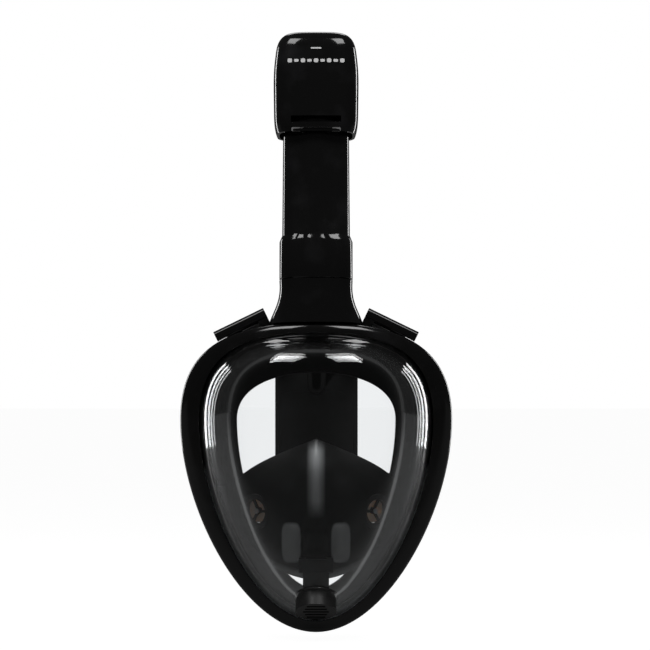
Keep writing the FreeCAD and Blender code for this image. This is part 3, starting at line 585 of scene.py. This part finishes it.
# %% Front frame
RING_BACK, LENS_LEDGE, LEDGE_SHARE = (-5.7, 2.5, 0.26)
crown = [(share_of_band(0.5 - 0.5 * math.cos(math.pi * i / 12)), 2.2 + 5.6 * math.sin(math.pi * i / 24) ** 0.8
          + 0.35 * math.sin(math.pi * i / 12)) for i in range(13)]
section = [(share_of_band(0.0), RING_BACK), (share_of_band(0.0), -1.0), (share_of_band(0.0), 1.5)] + crown[1:]
section += [(share_of_band(1.0), 6.6), (share_of_band(1.0), LENS_LEDGE)]
section += [(share_of_band(LEDGE_SHARE), LENS_LEDGE), (share_of_band(LEDGE_SHARE), RING_BACK)]
bezel_rings = [ring(*corner) for corner in section]
bezel = skin("front_frame_piece", bezel_rings, "front_frame", loop=True, smooth_angle=50)
wear_in(bezel, 0.35 * MM, 3, 50.0)
stand_for(bezel, "front_frame")

# %% [markdown]
# ## Lens
# The dome rises like a quarter of a rounded square: tight at brow and temples, long and easy down to the
# chin. Its flange runs under the frame's lip, and the chin valve's hole is drilled through it.

# %% Lens
DOME_STEPS = 26
DOME_OUTSIDE, DOME_INSIDE = (40.0, 37.5)  # heights over the flange
FLANGE_FRONT = 2.35
POLE = 0.985  # the last ring stops just short of the pole
CHIN_ROUNDNESS, BROW_ROUNDNESS = (2.3, 4.6)
ROUNDNESS_FOOT, ROUNDNESS_RUN = (-110.0, 90.0)  # height where the change starts, and its length


def dome(depth, inset, sweep):
    rings = []
    for i in sweep:
        angle = math.pi / 2 * min(i / DOME_STEPS, POLE)
        points = []
        for x, z in outline(inset):
            blend = min(1.0, max(0.0, (z / MM - ROUNDNESS_FOOT) / ROUNDNESS_RUN))
            ease = blend * blend * (3 - 2 * blend)
            roundness = CHIN_ROUNDNESS + (BROW_ROUNDNESS - CHIN_ROUNDNESS) * ease
            share = math.cos(angle) ** (2 / roundness)
            rise = depth * math.sin(angle) + FLANGE_FRONT
            points.append((x * share, saddle(x * share, z * share) - rise * MM, z * share))
        rings.append(points)
    return rings


outer, inner = share_of_band(1.0, 0.5), share_of_band(1.0, 3.0)
rim = share_of_band(0.55)
inside = dome(DOME_INSIDE, inner, range(DOME_STEPS, 0, -1))
outside = dome(DOME_OUTSIDE, outer, range(1, DOME_STEPS + 1))
flange = [ring(inner, 0.0), ring(rim, 0.0), ring(rim, FLANGE_FRONT), ring(outer, FLANGE_FRONT)]
lens = skin("lens_piece", inside + flange + outside, "lens", smooth_angle=60)
SEAT_LAP = 1.4 * MM
chin_seat_low, chin_seat_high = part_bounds("chin_valve_seat")
chin_radius = (chin_seat_high.x - chin_seat_low.x) / 2 - SEAT_LAP
drill(lens, [cylinder_cutter(middle("chin_valve_seat"), joint_axis("chin_flap"), chin_radius, 30 * MM)])
stand_for(lens, "lens")

# %% [markdown]
# ## Skirt
# Soft silicone from the flange back to a rolled edge that lies on the face. The wall carries two shallow
# beads, the edge rolls inwards and thins, and the top is cut away for the foot of the neck.

# %% Skirt
wall = share_of_band(1.0, 0.8)
opening = (TOP - 34.0 * MM, HALF - 54.0 * MM, CHIN - 113.0 * MM)
WALL, SKIRT_FRONT = (2.4, -0.15)
ROUNDER = 0.25  # how much rounder the opening's upper corners are than the frame's
BEADS, BEAD_SPREAD, BEAD_HEIGHT = ((-12.0, -17.0), 0.7, 0.5)
FOOT_HALF, FOOT_FRONT, FOOT_BACK, FOOT_LOW, FOOT_HIGH = (23.2, -42.7, -22.8, 54.3, 75)  # the neck's foot, mm


def toward(share, thick=0.0):
    return tuple(w + (o - w) * share + thick * MM for w, o in zip(wall, opening))


def rolled(points, steps=5):
    """Rounds a section's corners by running a smooth curve through its points."""
    smooth = []
    for i in range(1, len(points) - 2):
        for k in range(steps):
            t = k / steps
            values = []
            for j in range(2):
                a, b, c, d = (points[i + m][j] for m in (-1, 0, 1, 2))
                values.append(0.5 * (2 * b + (c - a) * t + (2 * a - 5 * b + 4 * c - d) * t * t
                                     + (3 * b - a - 3 * c + d) * t ** 3))
            smooth.append(tuple(values))
    smooth.append(points[-2])
    return smooth


# A section point is (share of the way to the opening, height); the wall's thickness is added on the way back.
out_path = rolled([(0.0, 5.0), (0.0, -2.4), (0.0, -9.0), (0.10, -24.0),
                   (0.38, -42.0), (0.62, -44.0), (1.0, -39.5), (1.3, -34)])
in_path = rolled([(1.3, -34), (0.98, -37.4), (0.62, -41.6), (0.40, -39.6),
                  (0.10, -24.0), (0.0, -9.0), (0.0, -0.4), (0.0, 5)])


def bead(height):
    return BEAD_HEIGHT * sum(math.exp(-((height - centre) / BEAD_SPREAD) ** 2) for centre in BEADS)


def wall_left(share):
    """The wall's thickness, which thins to nothing towards the rolled edge."""
    return WALL * (1 - min(1.0, max(0.0, (share - 0.3) / 0.35)))


section = [(share_of_band(0.55), SKIRT_FRONT), (share_of_band(0.55), -WALL)]
section += [(toward(share, -bead(height)), height, ROUNDER * share) for share, height in out_path]
section += [(toward(share, wall_left(share)), height, ROUNDER * share) for share, height in in_path]
section.append((toward(0.0, WALL), SKIRT_FRONT))
skirt_rings = [ring(*corner) for corner in section]
skirt = skin("face_skirt_piece", skirt_rings, "face_skirt", loop=True, smooth_angle=50)
foot_low = (-FOOT_HALF * MM, FOOT_FRONT * MM, FOOT_LOW * MM)
foot_high = (FOOT_HALF * MM, FOOT_BACK * MM, FOOT_HIGH * MM)
drill(skirt, [box_cutter(foot_low, foot_high)])
stand_for(skirt, "face_skirt")

# %% [markdown]
# ## Inner mask
# A soft cup over nose and mouth with a gabled top edge. A ridge runs down the nose, two lobes and a block
# stand where the drain duct joins it, and a hole is drilled through for each cheek's inhale valve.

# %% Inner mask
POCKET_TOP, POCKET_CHIN, POCKET_HALF, POCKET_MIDDLE, CORNER = (-10.7, -106.0, 57.0, -58.0, -47.0)
GABLE_DROP, SIDE_RISE, SIDE_DROP = (10.0, 14.0, 32.0)  # how far the outline's curves pull, in mm
RIDGE_HEIGHT, RIDGE_HALF, LINE_HEIGHT, LINE_HALF = (7.0, 9.0, 1.1, 2.6)
RIDGE_FOOT, RIDGE_FADE = (-66.0, 5.0)
SWELL_HEIGHT, SWELL_MIDDLE, SWELL_HALF = (4.5, (15.0, -75.0), (5.5, 10.5))
BLOCK_HEIGHT, BLOCK_MIDDLE, BLOCK_HALF = (2.5, -79.0, (7.6, 9.5))
POCKET_FRONT, POCKET_BEND = (-13.0, 13.0)


def pocket_outline(inset):
    top, chin, half = POCKET_TOP - inset, POCKET_CHIN + inset, POCKET_HALF - inset
    side = []
    for i in range(STEPS):
        t = i / STEPS
        side.append((bezier(0, half * 0.46, half, half, t),
                     bezier(top, top - GABLE_DROP, CORNER + SIDE_RISE, CORNER, t)))
    for i in range(STEPS):
        t = i / STEPS
        side.append((bezier(half, half, half * 0.52, 0, t),
                     bezier(CORNER, CORNER - SIDE_DROP, chin, chin, t)))
    return side + [(0.0, chin)] + [(-x, z) for x, z in reversed(side[1:])]


def pocket_ring(share, inset, depth, swell=0.0):
    points = []
    for x, z in pocket_outline(inset):
        px, pz = x * share, POCKET_MIDDLE + (z - POCKET_MIDDLE) * share
        rise = depth * (1 - share ** 2.4) ** 0.8
        bridge = 1 / (1 + math.exp(-(pz - RIDGE_FOOT) / RIDGE_FADE))
        rise += RIDGE_HEIGHT * math.exp(-(px / RIDGE_HALF) ** 2) * (1 - share ** 6) * bridge
        rise += LINE_HEIGHT * math.exp(-(px / LINE_HALF) ** 2) * (1 - share ** 8) * bridge
        lobe_x = (abs(px) - SWELL_MIDDLE[0]) / SWELL_HALF[0]
        lobe_z = (pz - SWELL_MIDDLE[1]) / SWELL_HALF[1]
        rise += swell * math.exp(-lobe_x ** 4 - lobe_z ** 4) * SWELL_HEIGHT
        block_x, block_z = px / BLOCK_HALF[0], (pz - BLOCK_MIDDLE) / BLOCK_HALF[1]
        rise += swell * math.exp(-block_x ** 8 - block_z ** 8) * BLOCK_HEIGHT
        edge_y = POCKET_FRONT + POCKET_BEND * (px / POCKET_HALF) ** 2
        points.append((px * MM, (edge_y - rise) * MM, pz * MM))
    return points


POCKET_STEPS = 34
VALVE_HOLE = 10.6 * MM
shares = [math.sin(math.pi / 2 * (0.02 + 0.98 * i / POCKET_STEPS)) for i in range(POCKET_STEPS + 1)]
rings = [pocket_ring(share, 2.0, 42.0) for share in shares]
rings += [pocket_ring(share, 0.0, 44.0, 1.0) for share in reversed(shares)]
pocket = skin("inner_mask_piece", rings, "inner_mask", smooth_angle=60)
cutters = []
for side in ("left", "right"):
    seat, axis = middle("inhale_valve_seat_" + side), joint_axis("inhale_flap_" + side)
    cutters.append(cylinder_cutter(seat, axis, VALVE_HOLE, 20 * MM))
drill(pocket, cutters)
stand_for(pocket, "inner_mask")

# %% [markdown]
# ## Straps
# Each strap is flat elastic webbing from its anchor to the pad. Its part's box is narrow, so its two ends and
# its width are read off the part's own corners, and a ribbon with rounded selvedges is skinned between them.

# %% Straps
STRAP_FILL = 0.40  # half the webbing's thickness, as a share of its part's
STRAP_ROWS, STRAP_ROUND = (90, 28)
THREAD_ACROSS, THREAD_ALONG = (1.3 * MM, 0.9 * MM)


def strap_frame(node):
    """The strap's start, direction, width direction and sizes, from its part's mesh."""
    side = node.rsplit("_", 1)[1]
    adjuster = node.replace("strap", "adjuster")
    along = joint_axis(adjuster).normalized()
    points = [v.co for v in nodes[node].data.vertices]
    centre = sum(points, Vector()) / len(points)
    guess = Vector((0, 0, 1)) if "lower" in node else Vector((0.9 if side == "left" else -0.9, 0, -0.44))
    wide = (guess - along * guess.dot(along)).normalized()
    flat = along.cross(wide)
    spans = []
    for axis in (along, wide, flat):
        values = [(p - centre).dot(axis) for p in points]
        spans.append((min(values), max(values)))
    return centre, (along, wide, flat), spans


def ribbon(node):
    centre, (along, wide, flat), (run, span, depth) = strap_frame(node)
    centre = centre + wide * (sum(span) / 2) + flat * (sum(depth) / 2)
    half, thick = (span[1] - span[0]) / 2, (depth[1] - depth[0]) * STRAP_FILL
    rings, coords = [], []
    for row in range(STRAP_ROWS + 1):
        length = run[0] + (run[1] - run[0]) * row / STRAP_ROWS
        ring_points, ring_coords = [], []
        for i in range(STRAP_ROUND):
            angle = math.tau * i / STRAP_ROUND
            c, s = math.cos(angle), math.sin(angle)
            x = half * math.copysign(abs(c) ** 0.25, c)
            y = thick * math.copysign(abs(s) ** 0.5, s)
            ring_points.append(centre + along * length + wide * x + flat * y)
            ring_coords.append((x / THREAD_ACROSS, length / THREAD_ALONG))
        rings.append(ring_points)
        coords.append(ring_coords)
    strap = skin(node + "_piece", rings, node, coords=coords, smooth_angle=60)
    return stand_for(strap, node)


for side in ("left", "right"):
    ribbon("upper_strap_" + side)
    ribbon("lower_strap_" + side)

# %% [markdown]
# ## Harness pad
# A moulded rubber pad lies behind the head. One flat face with rounded corners and a notch is extruded, and
# its border is left proud of a sunken middle on both sides.

# %% Harness pad
pad_low, pad_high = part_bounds("harness_panel")
half, top, bottom = pad_high.x, pad_high.z, pad_low.z
shoulder, foot = -38 * MM, 15 * MM
notch_top, notch_foot, notch_z = 4.4 * MM, 2.7 * MM, 21.0 * MM
corner_radius, border, wall_run, well = 2.2 * MM, 2.6 * MM, 0.8 * MM, 0.8 * MM
corners = [(-half, shoulder), (-foot, bottom), (foot, bottom), (half, shoulder), (half, top),
           (notch_top, top), (notch_foot, notch_z), (-notch_foot, notch_z), (-notch_top, top), (-half, top)]
bm = bmesh.new()
outline_verts = [bm.verts.new((x, pad_low.y, z)) for x, z in corners]
bm.faces.new(outline_verts)
bmesh.ops.bevel(bm, geom=bm.verts[:], offset=corner_radius, segments=5, profile=0.5, affect="VERTICES",
                material=-1)
grown = bmesh.ops.extrude_face_region(bm, geom=bm.faces[:])["geom"]
moved = [part for part in grown if isinstance(part, bmesh.types.BMVert)]
bmesh.ops.translate(bm, verts=moved, vec=(0, pad_high.y - pad_low.y, 0))
bmesh.ops.recalc_face_normals(bm, faces=bm.faces)
for direction in (-1, 1):
    bm.normal_update()
    flats = [face for face in bm.faces if face.normal.y * direction > 0.9 and face.calc_area() > 1e-3]
    bmesh.ops.inset_region(bm, faces=flats, thickness=border, depth=0)
    bmesh.ops.inset_region(bm, faces=flats, thickness=wall_run, depth=-well)
bmesh.ops.remove_doubles(bm, verts=bm.verts, dist=1e-6)
bmesh.ops.triangulate(bm, faces=[face for face in bm.faces if len(face.verts) > 4])
bmesh.ops.recalc_face_normals(bm, faces=bm.faces)
pad_mesh = mesh_of(bm, "harness_panel_piece")
pad = finish_mesh("harness_panel_piece", pad_mesh, slots["harness_panel"], 30)
wear_in(pad, 0.35 * MM, 2, 30)
stand_for(pad, "harness_panel")
print("harness_panel_piece", len(pad_mesh.polygons), "faces")

# %% [markdown]
# ## Marks on the dry top
# A row of plain printed dashes and a short bar sit on the front of the dry top, and a pale bar along its air
# inlet is a painted highlight, set where the inlet's edge would catch the light. Each starts flat, and its
# points are then dropped on to the curved front with a ray, so that the print follows it.

# %% Dashes, bar and painted inlet highlight
BEND_CUTS = 12  # a wide bar is cut into this many lengths, so that it can bend


def drop_on_front(bm, tree, proud):
    for vert in bm.verts:
        hit = tree.ray_cast(Vector((vert.co.x, -0.2, vert.co.z)), Vector((0, 1, 0)))[0]
        if hit:
            vert.co.y = hit.y - proud - vert.co.y


# Makes the printed dashes and mark, and also the pale bar painted along the air inlet as a highlight.
def print_bar(width, height, x, z, cap_tree, name, proud=0.04 * MM, thick=0.12 * MM):
    bm = bmesh.new()
    bmesh.ops.create_cube(bm, size=1.0)
    bmesh.ops.scale(bm, verts=bm.verts, vec=(width, 1.0, height))
    upright = [edge for edge in bm.edges if abs(edge.verts[0].co.y - edge.verts[1].co.y) > 0.5]
    radius = min(width, height) * 0.35
    bmesh.ops.bevel(bm, geom=upright, offset=radius, segments=4, profile=0.5, affect="EDGES", material=-1)
    if width > 6 * MM:
        for i in range(1, BEND_CUTS):
            cut = (i / BEND_CUTS - 0.5) * width
            geom = bm.verts[:] + bm.edges[:] + bm.faces[:]
            bmesh.ops.bisect_plane(bm, geom=geom, plane_co=(cut, 0, 0), plane_no=(1, 0, 0))
    bmesh.ops.scale(bm, verts=bm.verts, vec=(1.0, thick, 1.0))
    bmesh.ops.translate(bm, verts=bm.verts, vec=(x, 0, z))
    drop_on_front(bm, cap_tree, proud)
    bmesh.ops.recalc_face_normals(bm, faces=bm.faces)
    piece = finish_mesh(name, mesh_of(bm, name), "pale_print", 30)
    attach(piece, nodes["dry_top_cap"]["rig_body"])
    return piece


cap_bm = bmesh.new()
cap_bm.from_mesh(nodes["dry_top_cap"].data)
cap_tree = BVHTree.FromBMesh(cap_bm)
cap_bm.free()
cap_low, cap_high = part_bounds("dry_top_cap")
DASHES, DASH_PITCH, DASH_WIDTH = (9, 4.4 * MM, 3.0 * MM)
DASH_DOWN, MARK_DOWN, INLET_HIGHLIGHT_UP = (20.0 * MM, 11.5 * MM, 6.4 * MM)
for i in range(DASHES):
    x = (i - (DASHES - 1) / 2) * DASH_PITCH
    height = 1.9 * MM if i % 2 else 2.8 * MM
    print_bar(DASH_WIDTH, height, x, cap_high.z - DASH_DOWN, cap_tree, "cap_dash_%d" % i)
print_bar(7.0 * MM, 1.0 * MM, 0.0, cap_high.z - MARK_DOWN, cap_tree, "cap_mark")
# Painted highlight: a pale bar along the lower edge of the air inlet.
print_bar(33.0 * MM, 2.6 * MM, 0.0, cap_low.z + INLET_HIGHLIGHT_UP, cap_tree, "painted_inlet_highlight", 0.3 * MM, 0.5 * MM)
print("dashes", DASHES)

# %% [markdown]
# ## All the other fittings
# Every part that no piece stands for yet gets its rounded copy. The flaps are too thin to be rounded, so
# their edges are left sharp.

# %% The other fittings
EDGE_WEAR = 0.25 * MM
fittings = [name for name in sorted(nodes) if name not in skinned]
for name in fittings:
    rounded_copy(name, 0 if "flap" in name else EDGE_WEAR)
print("fittings", len(fittings))

# %% [markdown]
# ## Floor
# The floor lies just under the chin. The camera sees it nearly white, while anything that mirrors it sees it
# almost black, a little lighter ahead of the mask, so that no veil lies over the lens.

# %% Floor
FLOOR_DROP = 0.004
bm = bmesh.new()
bmesh.ops.create_grid(bm, x_segments=4, y_segments=4, size=6.0)
bmesh.ops.translate(bm, verts=bm.verts, vec=(0, 0, part_box[0][2] - FLOOR_DROP))
floor_mesh = mesh_of(bm, "floor")
floor = bpy.data.objects.new("floor", floor_mesh)
scene.collection.objects.link(floor)
pale = Finish("pale_floor", Roughness=0.6, Emission_Strength=1.0)
pale.set(Base_Color=pale.mix(pale.noise(3.0), grey(0.05), grey(0.06)))
camera_ray = pale.node("ShaderNodeLightPath").outputs["Is Camera Ray"]
ahead = Wire(pale, pale.node("ShaderNodeSeparateXYZ", None, Vector=pale.place).outputs["Y"])
pool = pale.mask(ahead, -0.20, -0.09)
mirrored = pale.mix(pool, grey(0.02), grey(0.09))
pale.set(Emission_Color=pale.mix(camera_ray, mirrored, grey(0.96)))
floor_mesh.materials.append(pale.material)
print("floor at", part_box[0][2] - FLOOR_DROP)

# %% [markdown]
# ## World
# White all round for the camera, weaker as a fill on dull surfaces, and nearly dark in reflections. Black
# plastic then keeps its depth, and the few lamps draw its highlights.

# %% World
SEEN, FILL, MIRRORED = (1.0, 0.25, 0.04)
world = bpy.data.worlds.new("studio")
scene.world = world
world.use_nodes = True
sky = world.node_tree
rays = sky.nodes.new("ShaderNodeLightPath")
fill = sky.nodes.new("ShaderNodeMapRange")
sky.links.new(rays.outputs["Is Diffuse Ray"], fill.inputs["Value"])
fill.inputs["To Min"].default_value = MIRRORED
fill.inputs["To Max"].default_value = FILL
strength = sky.nodes.new("ShaderNodeMapRange")
sky.links.new(rays.outputs["Is Camera Ray"], strength.inputs["Value"])
sky.links.new(fill.outputs[0], strength.inputs["To Min"])
strength.inputs["To Max"].default_value = SEEN
background = sky.nodes["Background"]
background.inputs["Color"].default_value = (1, 1, 1, 1)
sky.links.new(strength.outputs[0], background.inputs["Strength"])
scene.view_settings.view_transform = "Standard"
print("world", SEEN, FILL, MIRRORED)

# %% [markdown]
# ## Lights
# Two softboxes stand above and ahead, one to each side. Two tall strips behind, wide of the mask, draw its
# edges, and one softbox behind and above lights the harness.

# %% Lights
def area_light(name, place, target, size, power):
    data = bpy.data.lights.new(name, "AREA")
    data.shape = "RECTANGLE"
    data.size, data.size_y = size
    data.energy = power
    lamp = bpy.data.objects.new(name, data)
    lamp.location = place
    lamp.rotation_euler = (Vector(target) - Vector(place)).to_track_quat("-Z", "Y").to_euler()
    scene.collection.objects.link(lamp)
    return lamp


for side, way in (("left", -1), ("right", 1)):
    area_light("top_%s_softbox" % side, (way * 0.42, -0.55, 1.10), (0, -0.02, 0.0), (0.50, 0.40), 5.0)
for side, way in (("left", -1), ("right", 1)):
    area_light(side + "_strip", (way * 0.80, 0.75, 0.10), (0, -0.03, 0.05), (0.14, 0.9), 3.0)
area_light("back_softbox", (0.0, 1.2, 1.3), (0, 0, 0.05), (0.9, 0.5), 4.0)
print("lamps", len(bpy.data.lights))

# %% [markdown]
# ## Camera
# It looks straight at the mask from well away, so that the mask hardly tapers. The span is the width that it
# takes in at that distance.

# %% Camera
DISTANCE, SPAN, SENSOR = (2.2, 0.4355, 36.0)
SIDEWAYS, AHEAD, EYE_HEIGHT = (0.006, 0.035, 0.0663)
camera_data = bpy.data.cameras.new("camera")
camera_data.sensor_width = SENSOR
camera_data.lens = DISTANCE * SENSOR / SPAN
camera = bpy.data.objects.new("camera", camera_data)
scene.collection.objects.link(camera)
camera.location = (SIDEWAYS, -DISTANCE - AHEAD, EYE_HEIGHT)
camera.rotation_euler = (math.radians(90), 0, 0)
scene.camera = camera
print("camera lens", camera_data.lens)
